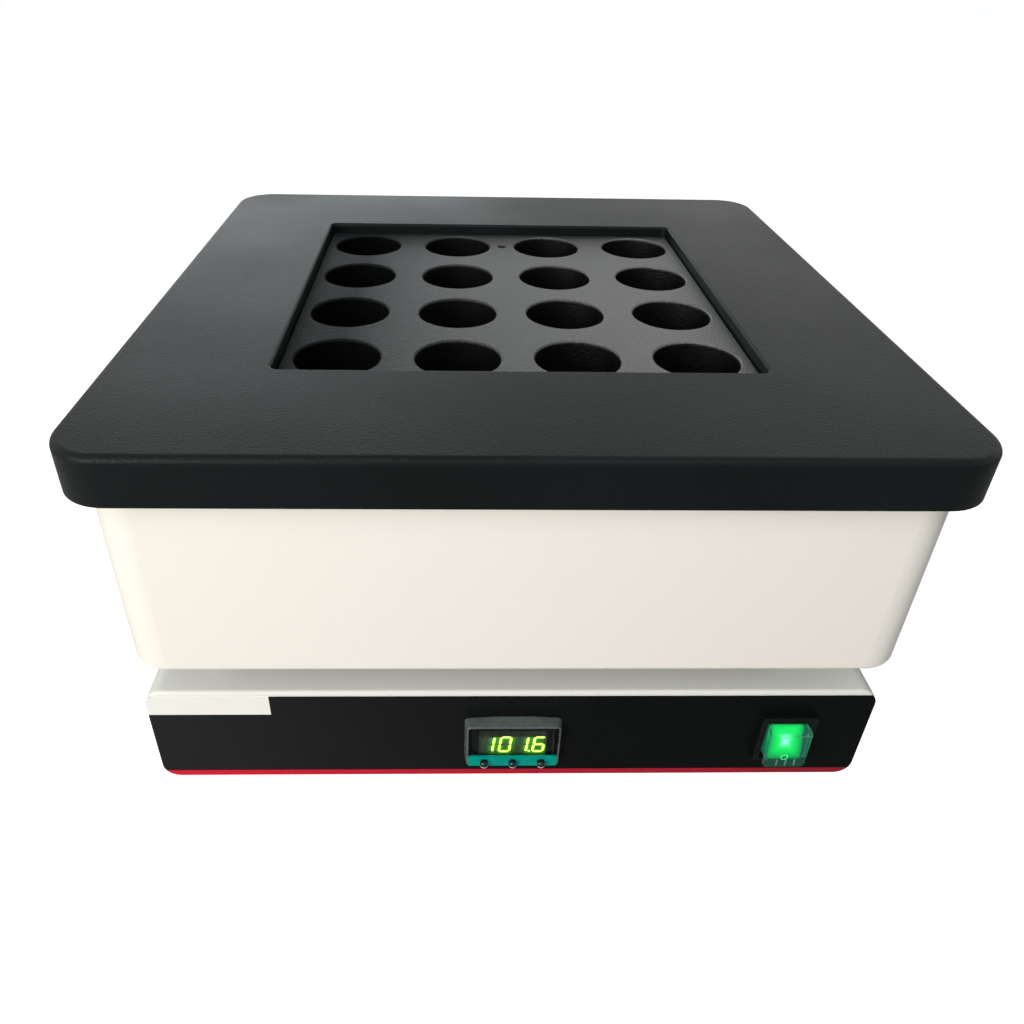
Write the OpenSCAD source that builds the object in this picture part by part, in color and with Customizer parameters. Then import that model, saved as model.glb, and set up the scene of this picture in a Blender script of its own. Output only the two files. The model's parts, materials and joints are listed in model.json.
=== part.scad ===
// Block digester: a hot block with sixteen tube wells in an insulated housing that stands on
// four pillars above a flat control base.
// Frame: +Z up, front towards -Y, origin on the bench under the middle of the cover.

/* [Cover] */
// Width of the cover
cover_w = 396; // [380:1:430]
// Depth of the cover, front to back
cover_d = 402; // [385:1:430]
// Height of the cover's turned-down skirt
skirt_h = 24; // [16:1:40]
// Radius of the cover's upright corners
cover_r = 24; // [12:1:40]
// Radius of the cover's top edge
cover_edge = 3.5; // [2.5:0.5:6]
// Sheet thickness of the cover
cover_t = 1.5; // [1.2:0.1:2.4]
// Depth of the turned-down flange round the opening
flange_h = 13; // [9:1:20]
// Inner radius of the fold at the opening's rim
rim_fold = 0.2; // [0.1:0.1:1.5]
// Corner radius of the opening
opening_r = 4; // [2:0.5:10]

/* [Housing] */
// How far the cover stands out past the housing at each side
overhang_x = 9; // [6:0.5:14]
// How far the cover stands out past the housing at front and back
overhang_y = 8; // [6:0.5:14]
// Radius of the housing's upright corners
housing_r = 20; // [17:1:30]
// Sheet thickness of the housing and the base
sheet_t = 1.5; // [1:0.1:1.8]
// Outer radius of the housing's folds
fold_r = 3; // [2.5:0.5:4]
// Width of the housing's inturned flanges
housing_flange = 14; // [10:1:16]
// Thickness of the housing's floor plate
floor_t = 2; // [1.5:0.5:4]

/* [Heating block] */
// Number of wells across
well_columns = 4; // [3:1:4]
// Number of wells front to back
well_rows = 4; // [3:1:4]
// Distance between well centres
well_pitch = 61; // [52:1:66]
// Bore of one well
well_d = 44; // [20:1:46]
// Depth of one well
well_depth = 78; // [50:1:110]
// Thickness of the plate that closes the wells at the bottom
block_floor = 11.5; // [8:0.5:20]
// Solid metal outside the outer wells
block_edge = 5; // [4:0.5:10]
// How far the block's top lies below the cover
recess_depth = 6.5; // [4:0.5:10]
// Gap between the block and the cover's flange
block_gap = 1; // [0.6:0.1:3]
// Bevel at the mouth of each well
well_bevel = 0.8; // [0.4:0.1:1.5]
// Diameter of the thermometer hole in the back row
probe_d = 6; // [4:0.5:8]
// Depth of the thermometer hole
probe_depth = 60; // [30:1:75]

/* [Heater] */
// Thickness of the heater plate
heater_t = 8; // [5:0.5:12]
// How far the heater stays inside the block's edge
heater_inset = 8; // [4:1:20]
// Thickness of the clamp plate
clamp_t = 4; // [3:0.5:8]
// How far the clamp plate stays inside the heater's edge
clamp_inset = 6; // [4:1:15]
// Height of the ceramic standoffs
standoff_h = 13.5; // [9:0.5:30]
// Diameter of the ceramic standoffs
standoff_d = 20; // [14:1:26]
// Distance of the standoffs from the clamp plate's edge
standoff_inset = 24; // [20:1:40]
// How far the side insulation stays clear of the housing's walls
insulation_margin = 26; // [18:1:34]

/* [Base] */
// How far the base stays inside the cover at each side
base_inset_x = 6.4; // [4:0.2:14]
// How far the base stays inside the cover at front and back
base_inset_y = 22.7; // [16:0.1:40]
// Height of the base
base_h = 65; // [62:1:90]
// Radius of the base's long edges
base_r = 9; // [6:0.5:14]
// Radius of the base's front edge
base_edge = 2; // [2:0.5:4]
// Clear height between the base and the housing
air_gap = 30; // [20:1:50]
// Height of the rubber feet
foot_h = 8; // [5:1:15]
// Diameter of the rubber feet
foot_d = 24; // [18:1:30]
// Distance of the feet and pillars from the base's outer faces
foot_inset = 34; // [28:1:40]
// Diameter of the pillars
pillar_d = 22; // [18:1:28]
// Width of the base floor's rim round the service opening
floor_rim = 54; // [50:1:60]
// How far the service plate laps over that rim
floor_lap = 8; // [6:1:12]
// Thickness of the service plate and the rear panel
plate_t = 2; // [1.5:0.5:3]

/* [Front film] */
// Thickness of the printed film
film_t = 0.5; // [0.3:0.1:0.8]
// White margin left above the dark film
film_margin = 3; // [2:0.5:6]
// Height of the red stripe along the bottom
stripe_h = 4.4; // [3:0.1:8]
// Width of the bare white field at the top left
field_w = 64; // [40:1:90]
// Height of the bare white field
field_h = 13; // [8:1:18]

/* [Controller] */
// Height of the controller's centre above the underside of the base
controller_line = 30.2; // [29:0.2:32]
// Width of the bezel where it meets the panel
bezel_w = 52; // [50:0.5:56]
// Height of the bezel where it meets the panel
bezel_h = 31.5; // [31:0.5:33]
// How far the bezel stands out of the panel
bezel_t = 6.5; // [6:0.1:8]
// How much the bezel narrows from the panel to its face
bezel_draft = 1; // [0.4:0.1:1.5]
// Corner radius of the bezel
bezel_r = 2.5; // [1.5:0.5:4]
// Width of the clear window
window_w = 48; // [44.5:0.5:48]
// Rim of the bezel above the window
window_rim = 1; // [0.8:0.1:2]
// Thickness of the clear window
window_t = 1.5; // [1:0.1:2]
// Height of the key strip
strip_h = 7.4; // [7:0.2:8.8]
// Thickness of the key strip
strip_t = 1; // [0.8:0.1:1.4]
// Rim of the bezel below the key strip
strip_rim = 1; // [0.8:0.1:1.6]
// Width of the controller's case behind the panel
case_w = 46.6; // [45:0.2:47]
// Height of the controller's case
case_h = 28.6; // [28.4:0.2:29]
// Length of the controller's case behind the panel
case_l = 92; // [70:1:110]
// Wall of the controller's case
case_wall = 1.3; // [1:0.1:1.6]
// Width of a display module with its two digits
module_w = 18.2; // [16:0.1:19]
// How far the top of the display modules lies above the controller's centre
display_top = 3.6; // [2:0.1:6]
// Depth of a display module
module_t = 4; // [3:0.1:5]
// How far the face of the display modules lies behind the window
display_gap = 2; // [1:0.1:3]
// Diameter of a key
key_d = 4.2; // [3:0.1:4.4]
// Spacing of the keys
key_pitch = 15.4; // [12:0.1:16]
// How far a key stands out of the strip
key_out = 3.6; // [1.5:0.1:4]
// Travel of a key
key_travel = 0.6; // [0.3:0.1:0.8]

/* [Switch] */
// Distance of the switch's centre from the right end of the base
switch_inset = 44.5; // [41:0.5:90]
// Height of the switch frame's centre above the underside of the base
switch_line = 32.4; // [30:0.2:34]
// How far the rocker's pivots lie below the frame's centre
pivot_drop = 1.3; // [0:0.1:2]
// Width of the switch frame
frame_w = 30; // [29:0.5:33]
// Height of the switch frame
frame_h = 34; // [33:0.5:37]
// How far the switch frame stands out of the panel
frame_out = 4; // [2:0.5:4.5]
// Width of the rocker
rocker_w = 22.8; // [20:0.2:24]
// Length of the rocker's face
rocker_l = 27.8; // [26:0.2:29]
// Tilt of the rocker to either side of level
rocker_tilt = 9; // [6:0.5:10]
// Depth of the rocker's pivot behind the panel
pivot_depth = 6; // [5:0.5:8]
// Diameter of the rocker's pivots
pivot_d = 3; // [2:0.1:4]
// Depth of the switch body behind the panel
switch_depth = 24; // [20:1:30]

/* [Mains inlet] */
// Distance of the inlet's centre from that end of the base
inlet_inset = 71; // [61:1:130]
// Height of the inlet's centre above the underside of the base
inlet_line = 32.5; // [31:0.5:34]
// Width of the inlet's flange
inlet_w = 50; // [48:0.5:54]
// Height of the inlet's flange
inlet_h = 49; // [47:0.5:52]
// Thickness of the inlet's flange
inlet_t = 2.5; // [2:0.1:3.5]
// Spacing of the inlet's screws
inlet_screws = 40; // [38:0.5:41]
// Travel of the fuse drawer
drawer_travel = 16; // [8:1:18]

/* [Fits] */
// Clearance of a turning or sliding pin in its hole, on the radius
run_fit = 0.05; // [0.02:0.01:0.1]
// Clearance between pieces that only pass each other
pass_fit = 0.3; // [0.2:0.05:0.5]
// Thread diameter of the small screws
screw_d = 3; // [2.5:0.1:3.5]
// Thread diameter of the pillar bolts
bolt_d = 6; // [5:0.5:8]

/* [Hidden] */
$fn = 64;
eps = 0.01;

// Heights, from the bench up
base_z = foot_h;
base_top = base_z + base_h;
housing_z = base_top + air_gap;
floor_z = housing_z + sheet_t;
clamp_z = floor_z + floor_t + standoff_h;
heater_z = clamp_z + clamp_t;
block_z = heater_z + heater_t;
well_z = block_z + block_floor;
block_top = well_z + well_depth;
cover_top = block_top + recess_depth;
housing_top = cover_top - cover_t;
housing_h = housing_top - housing_z;

// Plan sizes
housing_w = cover_w - 2 * overhang_x;
housing_d = cover_d - 2 * overhang_y;
base_w = cover_w - 2 * base_inset_x;
base_d = cover_d - 2 * base_inset_y;
block_w = (well_columns - 1) * well_pitch + well_d + 2 * block_edge;
block_d = (well_rows - 1) * well_pitch + well_d + 2 * block_edge;
flange_bend = cover_t + rim_fold;
opening_w = block_w + 2 * block_gap;
opening_d = block_d + 2 * block_gap;
heater_w = block_w - 2 * heater_inset;
heater_d = block_d - 2 * heater_inset;
clamp_w = heater_w - 2 * clamp_inset;
clamp_d = heater_d - 2 * clamp_inset;
standoff_x = clamp_w / 2 - standoff_inset;
standoff_y = clamp_d / 2 - standoff_inset;
foot_x = base_w / 2 - foot_inset;
foot_y = base_d / 2 - foot_inset;
well_x0 = -(well_columns - 1) * well_pitch / 2;
well_y0 = -(well_rows - 1) * well_pitch / 2;

// Planes of the front and the back
front_y = -base_d / 2;
film_y = front_y - film_t;
back_y = base_d / 2;
panel_y = back_y - plate_t;

// Insulation and seal round the block
insulation_gap = 0.5;
board_joint = 0.2;
gasket_w = 14;
gasket_h = flange_h - cover_t + pass_fit;
insulation_top = housing_top - gasket_h;
insulation_z = floor_z + floor_t;

// Rear conduit that carries the leads from the base to the heater
conduit_d = 26;
conduit_wall = 2;
conduit_y = clamp_d / 2 - 34.5;
grommet_lip = 3;
lead_d = 3.5;
lead_gap = 8;
sensor_d = 5;
sensor_up = 60;
sensor_head = 12;
sensor_head_h = 4;
sensor_lead_d = 2.5;

// Screws and their heads
head_h = 2;
head_d = 2 * screw_d;
bolt_head_h = 4;
bolt_head_d = 10 / 6 * bolt_d;
nut_h = 5;
stud_l = 12;

// Controller, counted from its own centre and outwards from the film
bezel_arch = 1;
controller_z = base_z + controller_line;
strip_z = -bezel_h / 2 + strip_rim + strip_h / 2;
strip_back = bezel_t - strip_t;
window_top = bezel_h / 2 - window_rim;
window_tuck = 1.1;
window_low = strip_z + strip_h / 2 - window_tuck;
window_h = window_top - window_low;
window_z = (window_top + window_low) / 2;
window_back = strip_back - window_t;
display_face = window_back - display_gap;
board_t = 1.6;
board_face = display_face - module_t;
cavity_w = case_w - 2 * case_wall;
cavity_h = case_h - 2 * case_wall;
key_drop = 0.5;
key_z = strip_z - key_drop;
key_stem_d = 2.2;
display_low = key_z + key_stem_d / 2 + pass_fit + run_fit;
key_lip = 0.6;
lip_gap = 0.4;
key_switch_h = 2;
key_switch_w = 2.2;
key_rest = board_face + key_switch_h + key_travel + 0.1;
pocket_d = key_d + 2 * key_lip + 2 * pass_fit;
clip_t = 6;

// Switch, counted from its own centre
switch_x = base_w / 2 - switch_inset;
switch_z = base_z + switch_line;
pivot_z = switch_z - pivot_drop;
switch_wall = 1.3;
frame_bore_w = rocker_w + 2 * pass_fit;
frame_bore_h = rocker_l + 2 * run_fit;
body_w = frame_bore_w + 2 * switch_wall;
body_h = frame_bore_h + 2 * switch_wall;
switch_cavity = switch_depth - 8;
lamp_h = 5;

// Inlet, counted from its own centre
inlet_x = base_w / 2 - inlet_inset;
inlet_z = base_z + inlet_line;
socket_w = 24.6;
socket_h = 17;
socket_depth = 16;
socket_up = 10;
inlet_body = 26;
drawer_w = 24;
drawer_h = 13;
drawer_l = 20;
drawer_down = 13;
drawer_face = 2;

// ---- Shapes used by several pieces ----

// Rectangle with round corners, about its centre
module outline(w, d, r) {
    square([w - 2 * r, d], center = true);
    square([w, d - 2 * r], center = true);
    for (sx = [-1, 1], sy = [-1, 1])
        translate([sx * (w / 2 - r), sy * (d / 2 - r)]) circle(r);
}

// Upright plate with round corners
module slab(w, d, h, r) {
    linear_extrude(h) outline(w, d, r);
}

// Runs a wall section round a rounded rectangle. The section's x points outwards from the corner's
// centre, and its y points up.
module swept(w, d, r) {
    for (k = [0:3]) {
        along = k % 2 == 0 ? w : d;
        across = k % 2 == 0 ? d : w;
        rotate(90 * k) {
            translate([along / 2 - r, across / 2 - r, 0]) rotate_extrude(angle = 90) children();
            translate([r - along / 2, across / 2 - r, 0]) rotate([90, 0, 90])
                linear_extrude(along - 2 * r) children();
        }
    }
}

// Section of a wall of height h whose top folds inwards over an outer radius e
module folded_section(r, h, e, t) {
    difference() {
        union() {
            square([r - e, h]);
            square([r, h - e]);
            translate([r - e, h - e]) circle(e);
        }
        translate([-1, -1]) square([r - e + 1, h - t + 1]);
        translate([-1, -1]) square([r - t + 1, h - e + 1]);
        translate([r - e, h - e]) circle(e - t);
    }
}

// Shallow tray turned upside down: a flat top with a wall folded down all round
module tray(w, d, h, r, e, t) {
    swept(w, d, r) folded_section(r, h, e, t);
    translate([0, 0, h - t / 2]) cube([w - 2 * r, d - 2 * r, t], center = true);
}

// Section of a wall with a flange of width f folded inwards at its top and at its bottom
module channel_section(r, h, e, t, f) {
    difference() {
        union() {
            translate([r - f, 0]) square([f - e, h]);
            translate([r - f, e]) square([f, h - 2 * e]);
            translate([r - e, e]) circle(e);
            translate([r - e, h - e]) circle(e);
        }
        translate([r - f - 1, t]) square([f - e + 1, h - 2 * t]);
        translate([r - f - 1, e]) square([f - t + 1, h - 2 * e]);
        translate([r - e, e]) circle(e - t);
        translate([r - e, h - e]) circle(e - t);
    }
}

// Places the children at the four points (x, y) and their mirror images
module four(x, y) {
    for (sx = [-1, 1], sy = [-1, 1]) translate([sx * x, sy * y, 0]) children();
}

// Turns a piece drawn with z pointing out of the front panel, y up, to stand on the front plane
module on_front(x, z, y = front_y) {
    translate([x, y, z]) rotate([90, 0, 0]) children();
}

// Turns a piece drawn with z pointing out of the rear panel, y up, to stand on the rear plane
module on_back(x, z, y = back_y) {
    translate([x, y, z]) rotate([90, 0, 180]) children();
}

// Pan-head screw whose head rests on z = 0 and whose shank runs down
module screw(d, l, hd, hh) {
    difference() {
        cylinder(d = hd, h = hh);
        translate([0, 0, hh / 2]) cylinder(d = hd * 0.45, h = hh);
    }
    translate([0, 0, -l]) cylinder(d = d, h = l + eps);
}

// Hexagon nut with its bore
module nut(d, h) {
    difference() {
        cylinder(d = 2 * d, h = h, $fn = 6);
        translate([0, 0, -1]) cylinder(d = d + 2 * run_fit, h = h + 2);
    }
}

// Wire that runs straight from point to point
module wire(points, d) {
    for (k = [0 : len(points) - 2]) {
        step = points[k + 1] - points[k];
        run = norm(step);
        translate(points[k])
            rotate([0, acos(step[2] / run), atan2(step[1], step[0])]) cylinder(d = d, h = run);
    }
    for (k = [1 : len(points) - 2]) translate(points[k]) sphere(d = d);
}

// ---- Cover ----

// Section of the flange that folds down into the opening
module rim_section() {
    bend_x = opening_r + flange_bend;
    translate([opening_r, -flange_h]) square([cover_t, flange_h - flange_bend]);
    intersection() {
        difference() {
            translate([bend_x, -flange_bend]) circle(flange_bend);
            translate([bend_x, -flange_bend]) circle(flange_bend - cover_t);
        }
        translate([opening_r, -flange_bend]) square(flange_bend);
    }
}

module top_cover() {
    color("#26282a") {
        difference() {
            translate([0, 0, cover_top - skirt_h])
                tray(cover_w, cover_d, skirt_h, cover_r, cover_edge, cover_t);
            translate([0, 0, cover_top - cover_t - 1])
                slab(opening_w + 2 * flange_bend, opening_d + 2 * flange_bend, cover_t + 2,
                    opening_r + flange_bend);
        }
        translate([0, 0, cover_top]) swept(opening_w, opening_d, opening_r) rim_section();
    }
}

// Stud positions: middle of the housing's top flange
stud_inset = housing_flange - 5.5;
stud_x = housing_w / 2 - stud_inset;
stud_y = housing_d / 2 - stud_inset;
stud_d = 5;

module stud_places() {
    for (sx = [-1, 1]) translate([sx * stud_x, 0, 0]) children();
    for (sy = [-1, 1], sx = [-1, 1]) translate([sx * stud_x / 2, sy * stud_y, 0]) children();
}

module cover_studs() {
    color("silver") stud_places() translate([0, 0, housing_top - stud_l]) cylinder(d = stud_d, h = stud_l);
}

module cover_nuts() {
    color("silver") stud_places() translate([0, 0, housing_top - sheet_t - nut_h]) nut(stud_d, nut_h);
}

module cover_gasket() {
    inner_w = opening_w + 2 * flange_bend + 2 * pass_fit;
    inner_d = opening_d + 2 * flange_bend + 2 * pass_fit;
    inner_r = opening_r + flange_bend + pass_fit;
    color("#8a4a3a") translate([0, 0, insulation_top]) difference() {
        slab(inner_w + 2 * gasket_w, inner_d + 2 * gasket_w, gasket_h, inner_r + gasket_w);
        translate([0, 0, -1]) slab(inner_w, inner_d, gasket_h + 2, inner_r);
    }
}

// ---- Heating block ----

module well_places() {
    for (i = [0 : well_columns - 1], j = [0 : well_rows - 1])
        translate([well_x0 + i * well_pitch, well_y0 + j * well_pitch, 0]) children();
}

// The thermometer hole lies in the back row, midway between two wells
probe_x = well_x0 + (floor(well_columns / 2) - 0.5) * well_pitch;
probe_y = well_y0 + (well_rows - 1) * well_pitch;

// Drilled body of the block: the wells run right through it, and the plate under it closes them
module heating_block() {
    probe_bevel = 0.4;
    color("#3c3e40") difference() {
        translate([0, 0, well_z]) slab(block_w, block_d, well_depth, block_r);
        well_places() {
            translate([0, 0, well_z - 1]) cylinder(d = well_d, h = well_depth + 2);
            translate([0, 0, block_top - well_bevel])
                cylinder(d1 = well_d, d2 = well_d + 2 * well_bevel, h = well_bevel + eps);
        }
        translate([probe_x, probe_y, block_top - probe_depth]) cylinder(d = probe_d, h = probe_depth + 1);
        translate([probe_x, probe_y, block_top - probe_bevel])
            cylinder(d1 = probe_d, d2 = probe_d + 2 * probe_bevel, h = probe_bevel + eps);
        // Blind hole for the control sensor, in the web between two wells
        translate([sensor_x, sensor_y, block_z]) cylinder(d = sensor_bore, h = sensor_up + 0.5);
        four(screw_x, screw_y) translate([0, 0, well_z - 1]) cylinder(d = clamp_screw_d, h = thread_l + 1);
    }
}

module block_base() {
    color("#3c3e40") difference() {
        translate([0, 0, block_z]) slab(block_w, block_d, block_floor, block_r);
        translate([sensor_x, sensor_y, block_z - 1]) cylinder(d = sensor_bore, h = block_floor + 2);
        four(screw_x, screw_y) translate([0, 0, block_z - 1])
            cylinder(d = clamp_screw_d + 1, h = block_floor + 2);
    }
}

block_r = 1.5;
sensor_x = well_x0 + (floor(well_columns / 2) - 0.5) * well_pitch;
sensor_y = well_y0 + floor(well_rows / 2) * well_pitch;
sensor_bore = sensor_d + 2 * run_fit;

// Screws up into the block, each midway between four wells
clamp_screw_d = 5;
screw_x = (well_columns / 2 - 1) * well_pitch;
screw_y = (well_rows / 2 - 1) * well_pitch;
thread_l = 8;

module heater_plate() {
    color("#b9a67a") difference() {
        translate([0, 0, heater_z]) slab(heater_w, heater_d, heater_t, 6);
        translate([sensor_x, sensor_y, heater_z - 1]) cylinder(d = sensor_bore + 1, h = heater_t + 2);
        four(screw_x, screw_y) translate([0, 0, heater_z - 1])
            cylinder(d = clamp_screw_d + 1, h = heater_t + 2);
    }
}

module clamp_plate() {
    color("silver") difference() {
        translate([0, 0, clamp_z]) slab(clamp_w, clamp_d, clamp_t, 6);
        translate([sensor_x, sensor_y, clamp_z - 1]) cylinder(d = sensor_bore + 1, h = clamp_t + 2);
        translate([0, conduit_y, clamp_z - 1]) cylinder(d = conduit_d, h = clamp_t + 2);
        four(screw_x, screw_y) translate([0, 0, clamp_z - 1])
            cylinder(d = clamp_screw_d + 2 * run_fit, h = clamp_t + 2);
        four(standoff_x, standoff_y) translate([0, 0, clamp_z - 1])
            cylinder(d = screw_d + 2 * run_fit, h = clamp_t + 2);
    }
}

module clamp_screws() {
    color("silver") four(screw_x, screw_y) translate([0, 0, clamp_z]) mirror([0, 0, 1])
        screw(clamp_screw_d - 2 * run_fit, clamp_t + heater_t + block_floor + thread_l - 1,
            2 * clamp_screw_d, 3);
}

module heater_terminals() {
    color("ivory") for (s = [-1, 1])
        translate([s * lead_gap / 2, conduit_y, heater_z - 7]) difference() {
            cylinder(d = 7.4, h = 7);
            translate([0, 0, -1]) cylinder(d = lead_d, h = 4);
        }
}

module ceramic_standoffs() {
    color("ivory") four(standoff_x, standoff_y) translate([0, 0, floor_z + floor_t]) difference() {
        cylinder(d = standoff_d, h = standoff_h);
        translate([0, 0, -1]) cylinder(d = screw_d + 2 * run_fit, h = standoff_h + 2);
    }
}

module standoff_screws() {
    color("silver") four(standoff_x, standoff_y) translate([0, 0, floor_z]) mirror([0, 0, 1])
        screw(screw_d, floor_t + standoff_h + clamp_t, head_d, head_h / 2);
}

module side_insulation() {
    w = block_w / 2 + insulation_gap;
    d = block_d / 2 + insulation_gap;
    h = insulation_top - insulation_z;
    t_x = housing_w / 2 - insulation_margin - w;
    t_y = housing_d / 2 - insulation_margin - d;
    color("white") translate([0, 0, insulation_z]) difference() {
        for (s = [-1, 1]) {
            translate([s * (w + t_x / 2), 0, h / 2])
                cube([t_x, 2 * (d + t_y), h], center = true);
            translate([0, s * (d + t_y / 2), h / 2])
                cube([2 * (w - board_joint), t_y, h], center = true);
        }
        four(foot_x, foot_y) translate([0, 0, -1]) cylinder(d = 2 * bolt_d + 2, h = nut_h + 8);
    }
}

module floor_insulation() {
    head_room = 6;
    slot_w = sensor_head + lead_d;
    h = standoff_h - head_room;
    color("white") translate([0, 0, insulation_z]) difference() {
        translate([0, 0, h / 2])
            cube([block_w, block_d, h], center = true);
        four(standoff_x, standoff_y) translate([0, 0, -1])
            cylinder(d = standoff_d + 2 * insulation_gap, h = h + 2);
        translate([0, conduit_y, -1]) cylinder(d = conduit_d + 2 * (grommet_lip + lead_d), h = h + 2);
        translate([sensor_x, (sensor_y + conduit_y) / 2, h / 2])
            cube([slot_w, conduit_y - sensor_y + slot_w, h + 2], center = true);
        translate([limit_x, limit_y, -1]) cylinder(d = limit_d + lead_d, h = h + 2);
    }
}

module block_sensor() {
    color("silver") translate([sensor_x, sensor_y, 0]) {
        translate([0, 0, clamp_z]) cylinder(d = sensor_d, h = block_z + sensor_up - clamp_z);
        translate([0, 0, clamp_z - sensor_head_h]) cylinder(d = sensor_head, h = sensor_head_h, $fn = 6);
    }
}

module sensor_lead() {
    y_end = conduit_y - lead_gap;
    z_run = clamp_z - sensor_head_h - lead_d;
    color("#c8c8c0") wire([[sensor_x, sensor_y, clamp_z - sensor_head_h], [sensor_x, sensor_y, z_run],
        [sensor_x, y_end, z_run], [sensor_x, y_end, block_strip_z + pass_fit]], sensor_lead_d);
}

module heater_leads() {
    color("white") for (s = [-1, 1]) translate([s * lead_gap / 2, conduit_y, block_strip_z])
        cylinder(d = lead_d - 2 * run_fit, h = heater_z - 4 - block_strip_z);
}

limit_x = standoff_x / 2;
limit_y = 0;
limit_d = 16;

module limit_thermostat() {
    color("silver") translate([limit_x, limit_y, clamp_z - 5]) {
        cylinder(d = limit_d, h = 5);
        for (s = [-1, 1]) translate([s * 5, 0, -2]) cube([1, 5, 6], center = true);
    }
}

// ---- Housing ----

module housing_shell() {
    color("#f4f0e6") difference() {
        translate([0, 0, housing_z]) swept(housing_w, housing_d, housing_r)
            channel_section(housing_r, housing_h, fold_r, sheet_t, housing_flange);
        stud_places() translate([0, 0, housing_top - sheet_t - 1])
            cylinder(d = stud_d + 2 * pass_fit, h = sheet_t + 2);
        floor_screw_places() translate([0, 0, housing_z - 1])
            cylinder(d = screw_d + 2 * run_fit, h = sheet_t + 2);
    }
}

module floor_screw_places() {
    inset = housing_flange - 5;
    for (sx = [-1, 1], sy = [-1, 0, 1])
        translate([sx * (housing_w / 2 - inset), sy * housing_d / 3, 0]) children();
    for (sy = [-1, 1], sx = [-1, 0, 1])
        translate([sx * housing_w / 3, sy * (housing_d / 2 - inset), 0]) children();
}

module housing_floor() {
    inset = fold_r + pass_fit;
    color("#d9d9d4") difference() {
        translate([0, 0, floor_z])
            slab(housing_w - 2 * inset, housing_d - 2 * inset, floor_t, housing_r - inset);
        four(foot_x, foot_y) translate([0, 0, floor_z - 1])
            cylinder(d = bolt_d + 2 * pass_fit, h = floor_t + 2);
        four(standoff_x, standoff_y) translate([0, 0, floor_z - 1])
            cylinder(d = screw_d + 2 * run_fit, h = floor_t + 2);
        translate([0, conduit_y, floor_z - 1]) cylinder(d = conduit_d + 2 * pass_fit, h = floor_t + 2);
        floor_screw_places() translate([0, 0, floor_z - 1])
            cylinder(d = screw_d + 2 * run_fit, h = floor_t + 2);
    }
}

module floor_screws() {
    color("silver") floor_screw_places() translate([0, 0, housing_z]) mirror([0, 0, 1])
        screw(screw_d, sheet_t + floor_t + 2, head_d, head_h);
}

// ---- Pillars and conduit between the base and the housing ----

module pillars() {
    color("#8f9296") four(foot_x, foot_y) translate([0, 0, base_top]) difference() {
        cylinder(d = pillar_d, h = floor_z - base_top);
        translate([0, 0, -1]) cylinder(d = bolt_d + 2 * pass_fit, h = floor_z - base_top + 2);
    }
}

module pillar_bolts() {
    l = floor_z + floor_t - base_top + sheet_t + nut_h + 2;
    color("silver") four(foot_x, foot_y) translate([0, 0, base_top - sheet_t]) mirror([0, 0, 1])
        screw(bolt_d, l, bolt_head_d, bolt_head_h);
}

module pillar_nuts() {
    color("silver") four(foot_x, foot_y) translate([0, 0, floor_z + floor_t]) nut(bolt_d, nut_h);
}

module conduit() {
    z0 = base_top - 8;
    h = floor_z + floor_t + 2 - z0;
    color("#8f9296") translate([0, conduit_y, z0]) difference() {
        cylinder(d = conduit_d, h = h);
        translate([0, 0, -1]) cylinder(d = conduit_d - 2 * conduit_wall, h = h + 2);
    }
}

module grommets() {
    d = conduit_d + 2 * grommet_lip;
    color("#202020") for (z = [base_top, housing_z]) {
        below = z == base_top ? 0 : -grommet_lip + sheet_t;
        translate([0, conduit_y, z + below]) difference() {
            cylinder(d = d, h = grommet_lip);
            translate([0, 0, -1]) cylinder(d = conduit_d + 2 * run_fit, h = grommet_lip + 2);
        }
    }
}

// ---- Base ----

module base_shell() {
    color("#f4f0e6") difference() {
        translate([0, back_y, base_z + base_h / 2]) rotate([90, 0, 0])
            tray(base_w, base_h, base_d, base_r, base_edge, sheet_t);
        translate([0, 0, base_z - 1])
            slab(base_w - 2 * floor_rim, base_d - 2 * floor_rim, sheet_t + 2, 8);
        four(foot_x, foot_y) translate([0, 0, base_z - 1])
            cylinder(d = screw_d + 2 * run_fit, h = sheet_t + 2);
        four(foot_x, foot_y) translate([0, 0, base_top - sheet_t - 1])
            cylinder(d = bolt_d + 2 * pass_fit, h = sheet_t + 2);
        translate([0, conduit_y, base_top - sheet_t - 1])
            cylinder(d = conduit_d + 2 * pass_fit, h = sheet_t + 2);
        service_screw_places() translate([0, 0, base_z - 1])
            cylinder(d = screw_d + 2 * run_fit, h = sheet_t + 2);
        rear_screw_places() translate([0, 0, -sheet_t - 1])
            cylinder(d = screw_d + 2 * run_fit, h = sheet_t + 2);
        panel_openings();
    }
}

// Openings for the controller and the switch, through the front sheet and its film
module panel_openings() {
    deep = sheet_t + film_t + 2;
    on_front(0, controller_z, film_y - 1) mirror([0, 0, 1])
        linear_extrude(deep) square([case_w + 2 * pass_fit, case_h + 2 * pass_fit], center = true);
    on_front(switch_x, pivot_z, film_y - 1) mirror([0, 0, 1])
        linear_extrude(deep) square([body_w + 2 * pass_fit, body_h + 2 * pass_fit], center = true);
}

module service_screw_places() {
    x = base_w / 2 - floor_rim + floor_lap / 2;
    y = base_d / 2 - floor_rim + floor_lap / 2;
    four(x, y) children();
}

module service_plate() {
    w = base_w - 2 * floor_rim + 2 * floor_lap;
    d = base_d - 2 * floor_rim + 2 * floor_lap;
    slot_w = 4;
    slot_l = 36;
    slot_pitch = 12;
    color("#c9ccce") difference() {
        translate([0, 0, base_z + sheet_t]) slab(w, d, plate_t, 8);
        service_screw_places() translate([0, 0, base_z]) cylinder(d = screw_d, h = sheet_t + plate_t + 1);
        for (s = [-1, 1], k = [-3:3]) translate([s * w / 4 + k * slot_pitch, -d / 3, base_z])
            slab(slot_w, slot_l, sheet_t + plate_t + 1, slot_w / 2 - eps);
    }
}

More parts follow.
